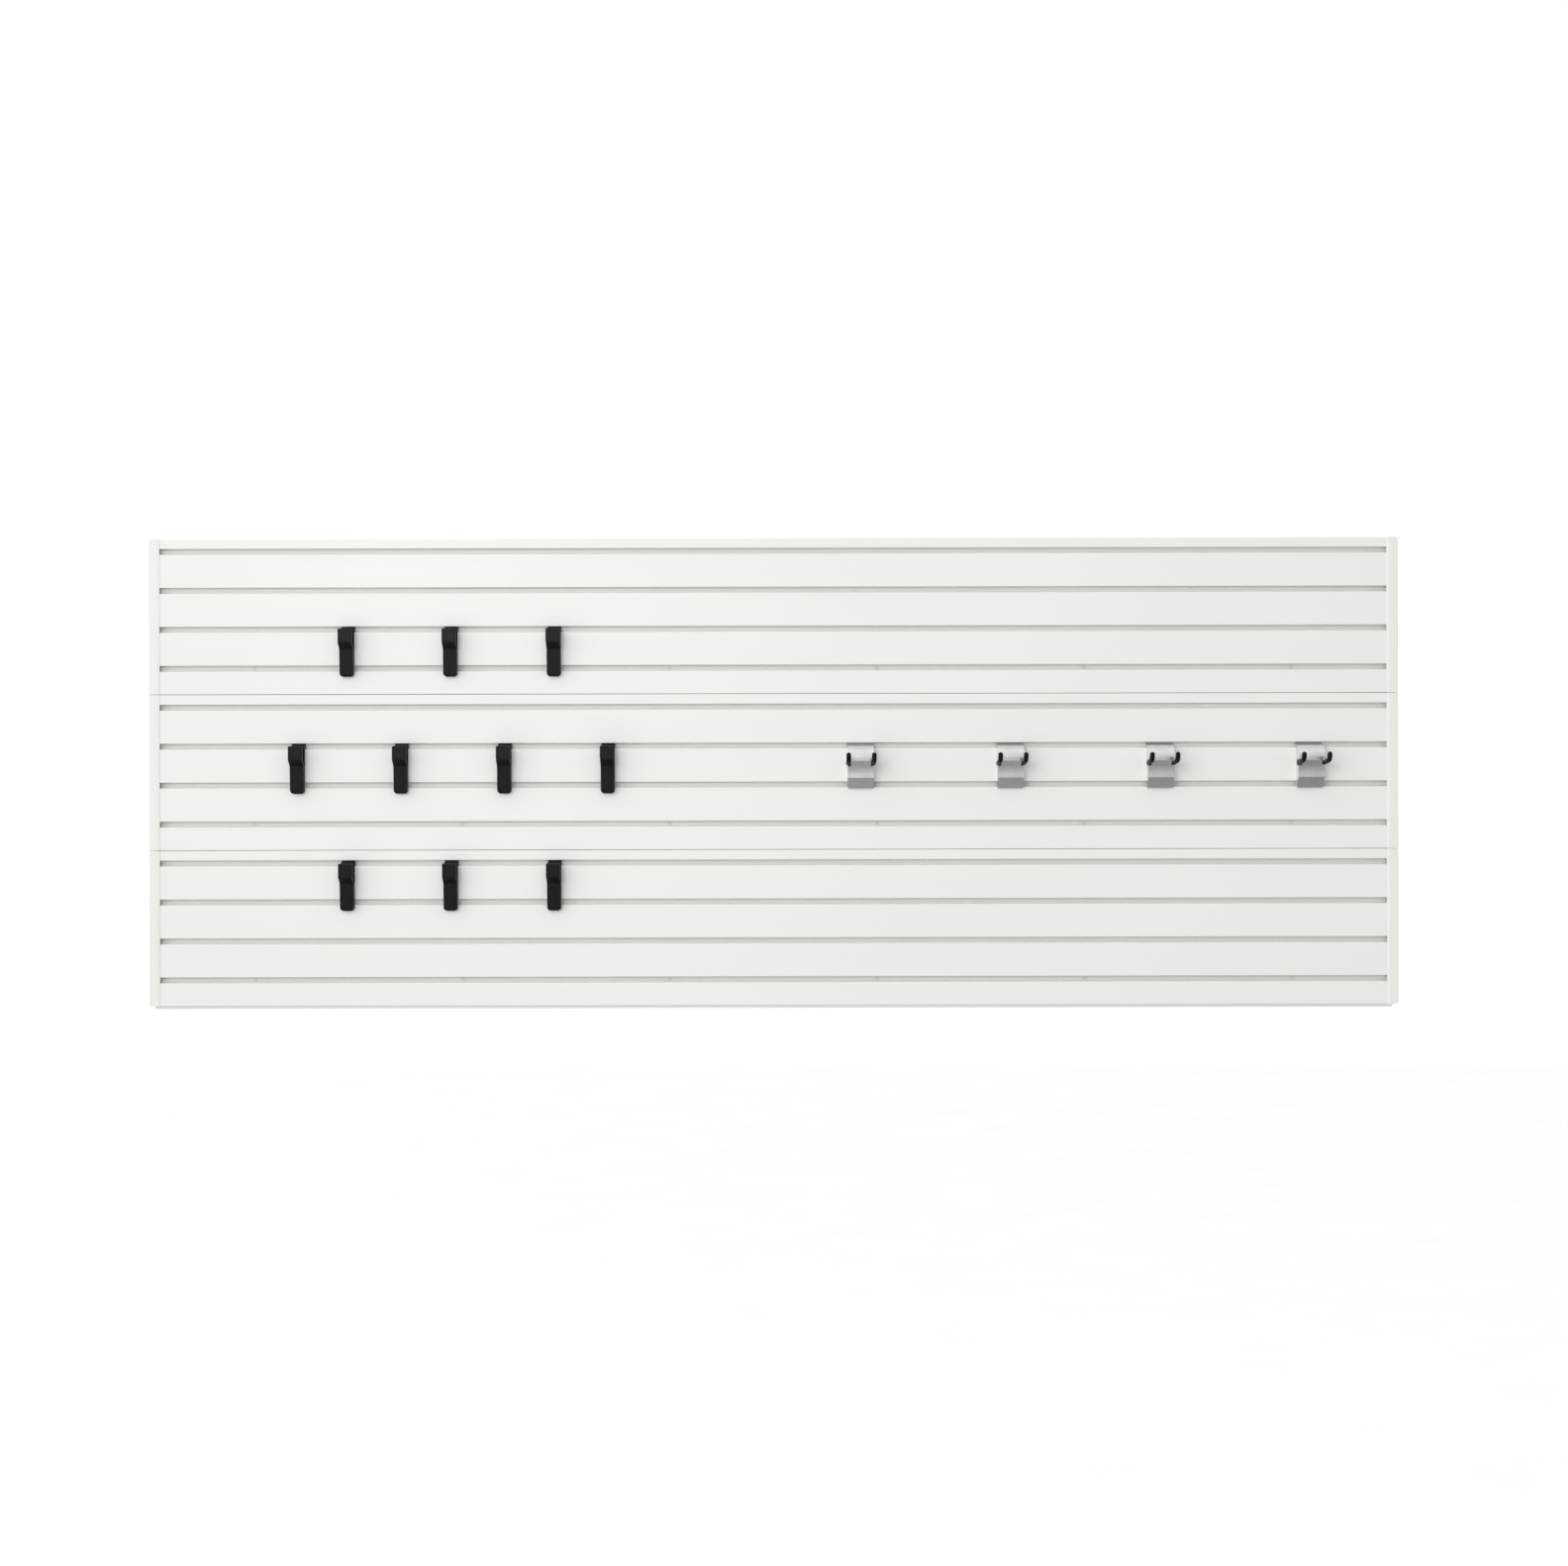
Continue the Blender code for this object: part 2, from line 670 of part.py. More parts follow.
def sleeve_line(side):
    """A prong's centre line from the sleeve's open end to its tip."""
    line = prong_line(side)
    straight = (line[2] - line[1]).normalized()
    start = line[1] + straight * ((SLEEVE_START - PRONG_ROUTE[1][0]) / -straight.y)
    return filleted([start, line[2], line[3]], PRONG_BEND, 3)


def domed(points, radius, steps=3):
    """Add a dome's rings at a route's end: points and radius factors."""
    direction = (points[-1] - points[-2]).normalized()
    base = points[-1] - direction * radius
    line = points[:-1] + [base]
    taper = [1.0] * len(line)
    for step in range(1, steps + 1):
        angle = radians(82) * step / steps
        line.append(base + direction * radius * sin(angle))
        taper.append(cos(angle))
    return line, taper


def sleeve_mesh(side, word, cutters):
    """The soft sleeve over one prong, open at the bracket and domed at the tip."""
    line, taper = domed(sleeve_line(side), SLEEVE_RADIUS)
    outer = tube(f"sleeve_form_{word}", line, SLEEVE_RADIUS, 2, Matrix(), cutters, taper=taper)
    bore_line = shortened(sleeve_line(side), ROD_END_SHORT - GAP)
    towards_wall = (bore_line[0] - bore_line[1]).normalized()
    bore_line[0] = bore_line[0] + towards_wall * SLEEVE_RADIUS
    bore = tube(f"sleeve_bore_{word}", bore_line, SLEEVE_BORE, 2, Matrix(), cutters)
    hide_cutter(bore)
    boolean(outer, "DIFFERENCE", bore)
    return evaluated_mesh(outer, f"prong_sleeve_{word}")


def brackets(parts, cutters, plated, steel, vinyl):
    pieces = {
        "body": (bracket_body_mesh(cutters), plated),
        "prong_rod": (rod_mesh(cutters), steel),
        "sleeve_left": (sleeve_mesh(-1, "left", cutters), vinyl),
        "sleeve_right": (sleeve_mesh(1, "right", cutters), vinyl),
    }
    for mesh, material in pieces.values():
        mesh.materials.clear()
        mesh.materials.append(material)
    for number in range(BRACKET_COUNT):
        place = (BRACKET_FIRST + number * BRACKET_PITCH, 0, slot_height(BRACKET_SLOT))
        for word, (mesh, _) in pieces.items():
            obj = add_object(f"bracket_{number + 1}_{word}", mesh, parts)
            obj.location = place


# -------------------------------------------------------------------- assembly

def build():
    clear_scene()
    parts = new_collection("slatwall_panel_set")
    cutters = new_collection("cutters")
    pvc = new_material("white_pvc", (0.87, 0.88, 0.84), 0.42)
    trim_pvc = new_material("white_trim_pvc", (0.88, 0.89, 0.85), 0.38)
    painted = new_material("white_painted_screw", (0.84, 0.84, 0.81), 0.35, 0.3)
    moulded = new_material("black_moulded_plastic", (0.020, 0.020, 0.018), 0.40)
    plated = new_material("satin_silver_steel", (0.62, 0.62, 0.63), 0.28, 1.0)
    steel = new_material("bare_steel_rod", (0.45, 0.45, 0.46), 0.35, 1.0)
    vinyl = new_material("black_vinyl", (0.015, 0.015, 0.016), 0.50)
    silhouette = set_silhouette(cutters)
    for index in range(PANEL_COUNT):
        panel(index, parts, cutters, pvc)
        panel_screws(index, parts, painted)
        for side, word in ((-1, "left"), (1, "right")):
            trim(index, side, word, parts, silhouette, trim_pvc)
    hooks(parts, cutters, moulded)
    brackets(parts, cutters, plated, steel, vinyl)


build()
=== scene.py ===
"""Slatwall panel set: the visual model, its studio and its camera.

Metres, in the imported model's frame: +X right, +Z up, the wall on the +Y side and
the origin at the centre of the middle panel's back face.
"""
from math import cos, floor, pi, radians, sin, tan

import bmesh
import bpy
from mathutils import Matrix, Vector


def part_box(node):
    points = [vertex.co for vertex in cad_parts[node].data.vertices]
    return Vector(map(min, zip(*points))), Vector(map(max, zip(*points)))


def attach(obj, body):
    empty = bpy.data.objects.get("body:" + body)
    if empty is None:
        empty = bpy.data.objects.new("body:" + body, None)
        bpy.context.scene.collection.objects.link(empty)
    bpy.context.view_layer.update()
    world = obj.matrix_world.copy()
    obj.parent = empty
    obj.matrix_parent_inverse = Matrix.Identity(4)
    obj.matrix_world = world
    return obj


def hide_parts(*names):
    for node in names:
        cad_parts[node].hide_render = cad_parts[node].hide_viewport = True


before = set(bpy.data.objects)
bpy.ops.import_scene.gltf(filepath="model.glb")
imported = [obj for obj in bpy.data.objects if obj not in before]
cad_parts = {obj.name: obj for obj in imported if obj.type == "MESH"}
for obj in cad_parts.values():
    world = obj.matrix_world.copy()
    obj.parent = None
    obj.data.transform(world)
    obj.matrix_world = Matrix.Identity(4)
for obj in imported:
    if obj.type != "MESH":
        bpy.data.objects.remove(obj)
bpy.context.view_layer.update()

# ------------------------------------------------------------ driving dimensions

PANEL_WORDS = ("top", "middle", "bottom")
END_WORDS = ((-1, "left"), (1, "right"))
PANEL_LOW, PANEL_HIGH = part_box("slat_panel_middle")
PANEL_END = PANEL_HIGH.x
FACE = PANEL_LOW.y
SCREW_COUNT = 6
HOOK_COUNTS = {"top": 3, "middle": 4, "bottom": 3}
BRACKET_COUNT = 4

# Panel section.
SEAM_GAP = 0.0008
PANEL_PITCH = 0.3048
SLOTS_PER_PANEL = 4
SLOT_PITCH = PANEL_PITCH / SLOTS_PER_PANEL
FIRST_SLOT = SLOT_PITCH / 3
SLOT_MOUTH = 0.011
SLOT_LIP = 0.0045
SLOT_BACK = 0.005
UNDERCUT_UP = 0.009
UNDERCUT_DOWN = 0.0035
TONGUE_FRONT = 0.009
TONGUE_BACK = 0.004
TONGUE_LENGTH = 0.0064
TONGUE_END_CUT = 0.008
TONGUE_COPE = 0.0015
GROOVE_CLEARANCE = 0.0004
GROOVE_DEPTH = 0.007
REBATE_DEPTH = 0.0018
REBATE_WIDTH = 0.0123

# How far a cutter stands out of what it cuts.
BEYOND = 0.01

# Screw holes; the depths are measured from the panel's wall side.
HOLE_RADIUS = 0.0023
HOLE_DEPTH = 0.0026
COUNTERSINK_RADIUS = 0.0043
COUNTERSINK_DEPTH = 0.0047

# End trims.
TRIM_LEAD = 0.0050
TRIM_EDGE = 0.0003
TRIM_CORNER = 0.005
TRIM_TOUCH = 0.0001

# Wall screws.
HEAD_RADIUS = 0.0040
HEAD_RIM = 0.0002
HEAD_HEIGHT = 0.0024
RECESS_REACH = 0.0021
RECESS_DEPTH = 0.0012
RECESS_HALF_WIDTH = 0.00045
SHANK_RADIUS = 0.0020
ROOT_RADIUS = 0.0014
NECK_LENGTH = 0.0045

# Hooks and brackets: heights from the slot's centre line, depths from the panel's face.
GAP = 0.0003
FLANGE_THICKNESS = 0.0026
FLANGE_RISE = 0.012
FLANGE_FRONT = -SLOT_LIP - GAP
FLANGE_BACK = FLANGE_FRONT - FLANGE_THICKNESS
SEAT = -SLOT_MOUTH / 2 + GAP
HOOK_WIDTH = 0.0265
HOOK_TIP_WIDTH = 0.028
HOOK_HEIGHT = 0.093
HOOK_REACH = 0.031
HOOK_TIP_HEIGHT = 0.0275
HOOK_TIP_DEPTH = 0.009
HOOK_TIP_PROUD = 0.0002
HOOK_TIP_INSET = 0.0022
HOOK_PLATE = 0.0045
HOOK_NECK_TOP = 0.0018
HOOK_CRADLE_FLOOR = 0.0390
HOOK_CRADLE_FLAT = 0.0060
HOOK_CRADLE_RISE = 0.0150
HOOK_WAIST = 0.0160
HOOK_WAIST_DROP = 0.0385
HOOK_FOOT = 0.0125
HOOK_BOTTOM_RADIUS = 0.0070
BRACKET_WIDTH = 0.0508
BRACKET_SKIN = 0.002
BRACKET_HEIGHT = 0.085
BRACKET_NOSE = 0.029
BRACKET_NOSE_DROP = 0.027
BRACKET_NECK_TOP = -0.0002
BRACKET_CROWN_START = 0.0015
BRACKET_WAIST = 0.0192
BRACKET_WAIST_DROP = 0.0445
BRACKET_WAIST_RADIUS = 0.0340
BRACKET_KINK = 0.0200
BRACKET_KINK_DROP = 0.0635
BRACKET_FOOT = 0.0050
BRACKET_BOTTOM_RADIUS = 0.003
CROWN_STEPS = 14
# The notch for a prong, measured from the prong's centre line and from the face.
NOTCH_ABOVE = 0.0056
NOTCH_BELOW = 0.0070
NOTCH_ASIDE = 0.0053
NOTCH_WALL_SIDE = 0.0065
# The blank pad: its first row and its row spacing count in steps of the crown's outline.
BADGE_HALF_WIDTH = 0.0085
BADGE_ROWS = 9
BADGE_START = 9.0
BADGE_STEP = 0.57
BADGE_LAYERS = (-0.0004, 0.0005)
PRONG_SPACING = 0.0492
ROD_RADIUS = 0.0032
SLEEVE_RADIUS = 0.0046
SLEEVE_BORE = 0.0036
SLEEVE_START = 0.0205
SLEEVE_ROLL = 0.0004
# A prong's centre line, from the bar behind the skin to its tip.
PRONG_ROUTE = ((0.0110, -0.0365), (0.0290, -0.0345), (0.0620, -0.0305), (0.0665, -0.0150))
PRONG_BEND = 0.009
ROD_END_SHORT = 0.0045
# Over this height above the slot's centre line, the plating turns into painted shade: the tab
# inside the slot is coloured dark as if shaded by the slot's recess.
SLOT_SHADE_FADE = 0.0012


def node_centre(name):
    low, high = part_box(name)
    return (low + high) / 2


# ------------------------------------------------------------------ mesh helpers

def rounded(corners, steps=8):
    """Turn (u, v, radius) corners into outline points with an arc at each corner."""
    points = []
    count = len(corners)
    for index, (u, v, radius) in enumerate(corners):
        corner = Vector((u, v))
        if radius == 0:
            points.append(corner)
            continue
        before = (Vector(corners[index - 1][:2]) - corner).normalized()
        after = (Vector(corners[(index + 1) % count][:2]) - corner).normalized()
        half_angle = before.angle(after) / 2
        start = corner + before * (radius / tan(half_angle))
        centre = corner + (before + after).normalized() * (radius / sin(half_angle))
        sweep = (pi - 2 * half_angle) * (1 if before.cross(after) < 0 else -1)
        for step in range(steps + 1):
            turn = Matrix.Rotation(sweep * step / steps, 2)
            points.append(centre + turn @ (start - centre))
    return points


def new_object(name, mesh, material=None):
    obj = bpy.data.objects.new(name, mesh)
    bpy.context.scene.collection.objects.link(obj)
    if material:
        mesh.materials.clear()
        mesh.materials.append(material)
    return obj


def mesh_from(name, bm):
    bmesh.ops.recalc_face_normals(bm, faces=bm.faces)
    mesh = bpy.data.meshes.new(name)
    bm.to_mesh(mesh)
    bm.free()
    return mesh


def prism(name, points, low, high, place):
    """Extrude a closed outline between two heights and place it by a matrix."""
    bm = bmesh.new()
    rings = [[bm.verts.new((u, v, w)) for u, v in points] for w in (low, high)]
    bm.faces.new(rings[0])
    bm.faces.new(list(reversed(rings[1])))
    count = len(points)
    for index in range(count):
        following = (index + 1) % count
        bm.faces.new((rings[0][index], rings[0][following], rings[1][following], rings[1][index]))
    bm.transform(place)
    return mesh_from(name, bm)


# A side view drawn as (y, z) and extruded along X.
SIDE_VIEW = Matrix(((0, 0, 1, 0), (1, 0, 0, 0), (0, 1, 0, 0), (0, 0, 0, 1)))
# A front view drawn as (x, z) and extruded along Y.
FRONT_VIEW = Matrix(((1, 0, 0, 0), (0, 0, -1, 0), (0, 1, 0, 0), (0, 0, 0, 1)))


def box_mesh(name, low, high):
    corners = [(low[0], low[1]), (high[0], low[1]), (high[0], high[1]), (low[0], high[1])]
    return prism(name, corners, low[2], high[2], Matrix())


def lathe(name, profile, steps):
    """Turn a (radius, y) profile, which starts and ends on the axis, about the Y axis."""
    bm = bmesh.new()
    rings = []
    for radius, y in profile:
        if radius == 0:
            rings.append([bm.verts.new((0, y, 0))])
            continue
        angles = [2 * pi * step / steps for step in range(steps)]
        rings.append([bm.verts.new((radius * cos(a), y, radius * sin(a))) for a in angles])
    for first, second in zip(rings, rings[1:]):
        for step in range(steps):
            following = (step + 1) % steps
            corners = [first[step % len(first)], first[following % len(first)],
                       second[following % len(second)], second[step % len(second)]]
            bm.faces.new(list(dict.fromkeys(corners)))
    return mesh_from(name, bm)


def combined(mesh, steps):
    """Apply Boolean steps, (operation, cutter mesh), and return one new mesh."""
    base = new_object("base", mesh)
    cutters = []
    for operation, cutter_mesh in steps:
        cutter = new_object("cutter", cutter_mesh)
        cutters.append(cutter)
        modifier = base.modifiers.new("cut", "BOOLEAN")
        modifier.operation = operation
        modifier.object = cutter
    return baked(base, cutters)


def baked(obj, helpers=()):
    """The object's evaluated mesh; the object and its helpers are removed."""
    bpy.context.view_layer.update()
    evaluated = obj.evaluated_get(bpy.context.evaluated_depsgraph_get())
    mesh = bpy.data.meshes.new_from_object(evaluated)
    for used in (obj, *helpers):
        bpy.data.objects.remove(used, do_unlink=True)
    return mesh


def softened(mesh, width, segments=3, angle=40):
    """Round every edge sharper than an angle, and shade the result smooth."""
    obj = new_object("soft", mesh)
    weld = obj.modifiers.new("weld", "WELD")
    weld.merge_threshold = 0.00001
    bevel = obj.modifiers.new("bevel", "BEVEL")
    bevel.width = width
    bevel.segments = segments
    bevel.limit_method = "ANGLE"
    bevel.angle_limit = radians(angle)
    bevel.miter_outer = "MITER_ARC"
    return shaded(baked(obj), 50)


def shaded(mesh, angle):
    """Shade smooth between sharp edges while the large flat faces stay flat."""
    mesh.shade_smooth()
    mesh.set_sharp_from_angle(angle=radians(angle))
    obj = new_object("shaded", mesh)
    weighted = obj.modifiers.new("weighted", "WEIGHTED_NORMAL")
    weighted.keep_sharp = True
    return baked(obj)


def filleted(corners, radius, steps):
    """Replace each inner corner of a 3D route by an arc."""
    points = [corners[0]]
    for before, corner, after in zip(corners, corners[1:], corners[2:]):
        back = (before - corner).normalized()
        onward = (after - corner).normalized()
        half_angle = back.angle(onward) / 2
        room = 0.8 * min((before - corner).length, (after - corner).length)
        reach = min(radius / tan(half_angle), room)
        centre = corner + (back + onward).normalized() * (reach / cos(half_angle))
        start = corner + back * reach - centre
        end = (corner + onward * reach - centre).normalized()
        spokes = [start.normalized().slerp(end, step / steps) for step in range(steps + 1)]
        points += [centre + spoke * start.length for spoke in spokes]
    points.append(corners[-1])
    return points


def swept(name, rings, sides):
    """A closed skin through (point, direction, radius) rings, with flat or point ends."""
    bm = bmesh.new()
    loops = []
    side = Vector((1, 0, 0))
    for point, direction, radius in rings:
        side = side - direction * side.dot(direction)
        if side.length < 0.1:
            side = direction.orthogonal()
        side.normalize()
        other = direction.cross(side)
        angles = [2 * pi * step / sides for step in range(sides)]
        spokes = [side * cos(angle) + other * sin(angle) for angle in angles]
        loops.append([bm.verts.new(point + spoke * radius) for spoke in spokes])
    for first, second in zip(loops, loops[1:]):
        for step in range(sides):
            following = (step + 1) % sides
            bm.faces.new((first[step], first[following], second[following], second[step]))
    bm.faces.new(loops[0])
    bm.faces.new(loops[-1])
    mesh = mesh_from(name, bm)
    mesh.shade_smooth()
    mesh.set_sharp_from_angle(angle=radians(45))
    return mesh


def route_rings(points, radius):
    rings = []
    for index, point in enumerate(points):
        before = points[max(index - 1, 0)]
        after = points[min(index + 1, len(points) - 1)]
        rings.append((point, (after - before).normalized(), radius))
    return rings


# --------------------------------------------------------------------- materials

class Nodes:
    """A short way to write a material's node tree."""

    def __init__(self, name):
        self.material = bpy.data.materials.new(name)
        self.material.use_nodes = True
        self.tree = self.material.node_tree
        self.shader = self.tree.nodes["Principled BSDF"]

    def add(self, kind, settings=None, **inputs):
        node = self.tree.nodes.new(kind)
        for key, value in (settings or {}).items():
            setattr(node, key, value)
        for key, value in inputs.items():
            self.feed(node.inputs[key.replace("_", " ")], value)
        return node

    def feed(self, socket, value):
        if isinstance(value, bpy.types.NodeSocket):
            self.tree.links.new(value, socket)
        else:
            socket.default_value = value

    def noise(self, scale, detail=3.0, stretch=(1, 1, 1), roughness=0.5):
        object_place = self.add("ShaderNodeTexCoord").outputs["Object"]
        mapping = self.add("ShaderNodeMapping", Vector=object_place, Scale=stretch)
        texture = self.add("ShaderNodeTexNoise", Vector=mapping.outputs[0], Scale=scale,
                           Detail=detail, Roughness=roughness)
        return texture.outputs["Fac"]

    def ramp(self, factor, low, high, start=0.3, end=0.7):
        node = self.add("ShaderNodeMapRange", Value=factor)
        node.inputs["From Min"].default_value = start
        node.inputs["From Max"].default_value = end
        node.inputs["To Min"].default_value = low
        node.inputs["To Max"].default_value = high
        return node.outputs[0]

    def blend(self, factor, first, second):
        node = self.add("ShaderNodeMix", {"data_type": "RGBA", "blend_type": "MIX"})
        self.feed(node.inputs["Factor"], factor)
        self.feed(node.inputs[6], first)
        self.feed(node.inputs[7], second)
        return node.outputs[2]

    def bump(self, height, strength, distance, normal=None):
        node = self.add("ShaderNodeBump", Height=height, Strength=strength, Distance=distance)
        if normal:
            self.feed(node.inputs["Normal"], normal)
        return node.outputs[0]

    def set(self, **inputs):
        for key, value in inputs.items():
            self.feed(self.shader.inputs[key.replace("_", " ")], value)
        return self.material


def colour(red, green, blue):
    return (red, green, blue, 1.0)


def white_pvc(name, base, shade, rough):
    """Extruded PVC: faint die lines along X, slow tone drift and a satin skin."""
    nodes = Nodes(name)
    drift = nodes.noise(2.2, 2.0, (0.5, 1, 1.5))
    lines = nodes.noise(1.0, 4.0, (0.8, 260, 260), 0.6)
    skin = nodes.noise(900, 2.0)
    tone = nodes.blend(nodes.ramp(drift, 0.0, 1.0), shade, base)
    streaked = nodes.blend(nodes.ramp(lines, 0.0, 0.35, 0.35, 0.75), tone, shade)
    first = nodes.bump(lines, 0.10, 0.0004)
    normal = nodes.bump(skin, 0.05, 0.0001, first)
    return nodes.set(Base_Color=streaked, Roughness=nodes.ramp(lines, rough - 0.05, rough + 0.08),
                     Normal=normal)


def painted_screw():
    nodes = Nodes("white_screw_paint")
    fleck = nodes.noise(1500, 3.0)
    tone = nodes.blend(nodes.ramp(fleck, 0.0, 1.0), colour(0.80, 0.80, 0.77),
                       colour(0.86, 0.86, 0.83))
    return nodes.set(Base_Color=tone, Roughness=nodes.ramp(fleck, 0.28, 0.45),
                     Normal=nodes.bump(fleck, 0.2, 0.0001))


def plated_screw():
    nodes = Nodes("zinc_screw_shank")
    fleck = nodes.noise(1200, 3.0)
    tone = nodes.blend(nodes.ramp(fleck, 0.0, 1.0), colour(0.50, 0.50, 0.49),
                       colour(0.66, 0.66, 0.64))
    return nodes.set(Base_Color=tone, Metallic=1.0, Roughness=nodes.ramp(fleck, 0.25, 0.42))


def black_plastic():
    """Moulded plastic with a fine spark-eroded texture and slightly rubbed patches."""
    nodes = Nodes("black_moulded_plastic")
    grain = nodes.noise(2600, 2.0)
    rub = nodes.noise(90, 4.0)
    tone = nodes.blend(nodes.ramp(rub, 0.0, 1.0, 0.45, 0.75), colour(0.0065, 0.0065, 0.0052),
                       colour(0.0105, 0.0105, 0.009))
    nodes.shader.inputs["Specular IOR Level"].default_value = 0.15
    return nodes.set(Base_Color=tone, Roughness=nodes.ramp(rub, 0.34, 0.50),
                     Normal=nodes.bump(grain, 0.25, 0.0001))


def silver_plate():
    """Satin plating, brushed along the bracket's width; the tab up in the slot is painted dark, a
    painted shade for the slot's recess.
    """
    nodes = Nodes("satin_silver_plate")
    brush = nodes.noise(1.0, 4.0, (60, 2400, 2400), 0.6)
    cloud = nodes.noise(60, 3.0)
    plated = nodes.blend(nodes.ramp(cloud, 0.0, 1.0), colour(0.72, 0.72, 0.70),
                         colour(0.80, 0.80, 0.78))
    place = nodes.add("ShaderNodeTexCoord").outputs["Object"]
    height = nodes.add("ShaderNodeSeparateXYZ", Vector=place).outputs["Z"]
    in_slot_shade = nodes.ramp(height, 0.0, 1.0, 0.0, SLOT_SHADE_FADE)
    # Above the slot's centre line the metal colour is darkened: painted shade for the recess
    # behind the slot's upper lip.
    tone = nodes.blend(in_slot_shade, plated, colour(0.30, 0.30, 0.29))
    return nodes.set(Base_Color=tone, Metallic=1.0, Roughness=nodes.ramp(brush, 0.20, 0.32),
                     Normal=nodes.bump(brush, 0.08, 0.0001))


def bare_rod():
    nodes = Nodes("bare_steel_rod")
    drawn = nodes.noise(1.0, 4.0, (1500, 60, 1500), 0.6)
    tone = nodes.blend(nodes.ramp(drawn, 0.0, 1.0), colour(0.36, 0.36, 0.36),
                       colour(0.50, 0.50, 0.51))
    return nodes.set(Base_Color=tone, Metallic=1.0, Roughness=nodes.ramp(drawn, 0.28, 0.45))


def black_vinyl():
    """Dipped vinyl: semi-matt, with a soft orange-peel skin."""
    nodes = Nodes("black_vinyl_sleeve")
    peel = nodes.noise(700, 2.0)
    dust = nodes.noise(160, 4.0)
    tone = nodes.blend(nodes.ramp(dust, 0.0, 1.0, 0.5, 0.8), colour(0.005, 0.005, 0.005),
                       colour(0.010, 0.010, 0.010))
    nodes.shader.inputs["Specular IOR Level"].default_value = 0.12
    return nodes.set(Base_Color=tone, Roughness=nodes.ramp(dust, 0.42, 0.58),
                     Normal=nodes.bump(peel, 0.18, 0.0002))


# ------------------------------------------------------------------------ panels

def panel_top(index):
    """Height of the seam line above a panel, counted from the top panel."""
    return PANEL_PITCH * (1.5 - index)


def slot_corners(centre):
    """One undercut slot, from its upper front edge round to its lower front edge."""
    lip = FACE + SLOT_LIP
    top = centre + SLOT_MOUTH / 2
    bottom = centre - SLOT_MOUTH / 2
    return [
        (FACE, top, 0.0014),
        (lip, top, 0.0004),
        (lip, top + UNDERCUT_UP, 0.0006),
        (-SLOT_BACK, top + UNDERCUT_UP, 0.0006),
        (-SLOT_BACK, bottom - UNDERCUT_DOWN, 0.0006),
        (lip, bottom - UNDERCUT_DOWN, 0.0006),
        (lip, bottom, 0.0004),
        (FACE, bottom, 0.0015),
    ]


def panel_corners(top):
    """The section of one panel, from its wall side over the top to the tongue below."""
    face_top = top - SEAM_GAP / 2
    face_bottom = top - PANEL_PITCH + SEAM_GAP / 2
    groove_floor = face_top - GROOVE_DEPTH
    groove_back = -TONGUE_BACK + GROOVE_CLEARANCE
    groove_front = -TONGUE_FRONT - GROOVE_CLEARANCE
    tongue_tip = face_bottom - TONGUE_LENGTH
    corners = [
        (0, face_bottom, 0.0006),
        (0, face_top, 0.0006),
        (groove_back, face_top, 0.0004),
        (groove_back, groove_floor, 0.0004),
        (groove_front, groove_floor, 0.0004),
        (groove_front, face_top, 0.0004),
        (FACE, face_top, 0.0020),
    ]
    for slot in range(SLOTS_PER_PANEL):
        corners += slot_corners(top - FIRST_SLOT - slot * SLOT_PITCH)
    corners += [
        (FACE, face_bottom, 0.001),
        (-TONGUE_FRONT, face_bottom, 0),
        (-TONGUE_FRONT, tongue_tip, 0.0008),
        (-TONGUE_BACK, tongue_tip, 0.0008),
        (-TONGUE_BACK, face_bottom, 0),
    ]
    return corners


def panel_cuts(index, word):
    """Rebates behind the ends, coped tongue ends and the screw holes."""
    top = panel_top(index)
    bottom = top - PANEL_PITCH
    cuts = []
    for side, _ in END_WORDS:
        outer = side * (PANEL_END + BEYOND)
        inner = side * (PANEL_END - REBATE_WIDTH)
        cuts.append(box_mesh("rebate", (min(outer, inner), -REBATE_DEPTH, bottom - BEYOND),
                             (max(outer, inner), BEYOND, top + BEYOND)))
        inner = side * (PANEL_END - TONGUE_END_CUT)
        cuts.append(box_mesh("cope", (min(outer, inner), -TONGUE_FRONT - GAP, bottom - BEYOND),
                             (max(outer, inner), -TONGUE_BACK + GAP, bottom + TONGUE_COPE)))
    open_end = -SLOT_BACK - 0.001
    profile = [
        (0, BEYOND),
        (HOLE_RADIUS, BEYOND),
        (HOLE_RADIUS, -HOLE_DEPTH),
        (COUNTERSINK_RADIUS, -COUNTERSINK_DEPTH),
        (COUNTERSINK_RADIUS, open_end),
        (0, open_end),
    ]
    for number in range(1, SCREW_COUNT + 1):
        centre = node_centre(f"screw_{word}_{number}")
        hole = lathe("hole", profile, steps=24)
        hole.transform(Matrix.Translation((centre.x, 0, centre.z)))
        cuts.append(hole)
    return [("DIFFERENCE", cut) for cut in cuts]


def make_panels(material):
    for index, word in enumerate(PANEL_WORDS):
        outline = rounded(panel_corners(panel_top(index)), steps=6)
        mesh = prism("panel", outline, -PANEL_END, PANEL_END, SIDE_VIEW)
        mesh = shaded(combined(mesh, panel_cuts(index, word)), angle=35)
        piece = new_object(f"slat_panel_{word}_skin", mesh, material)
        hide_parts(f"slat_panel_{word}")
        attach(piece, "panel_set")


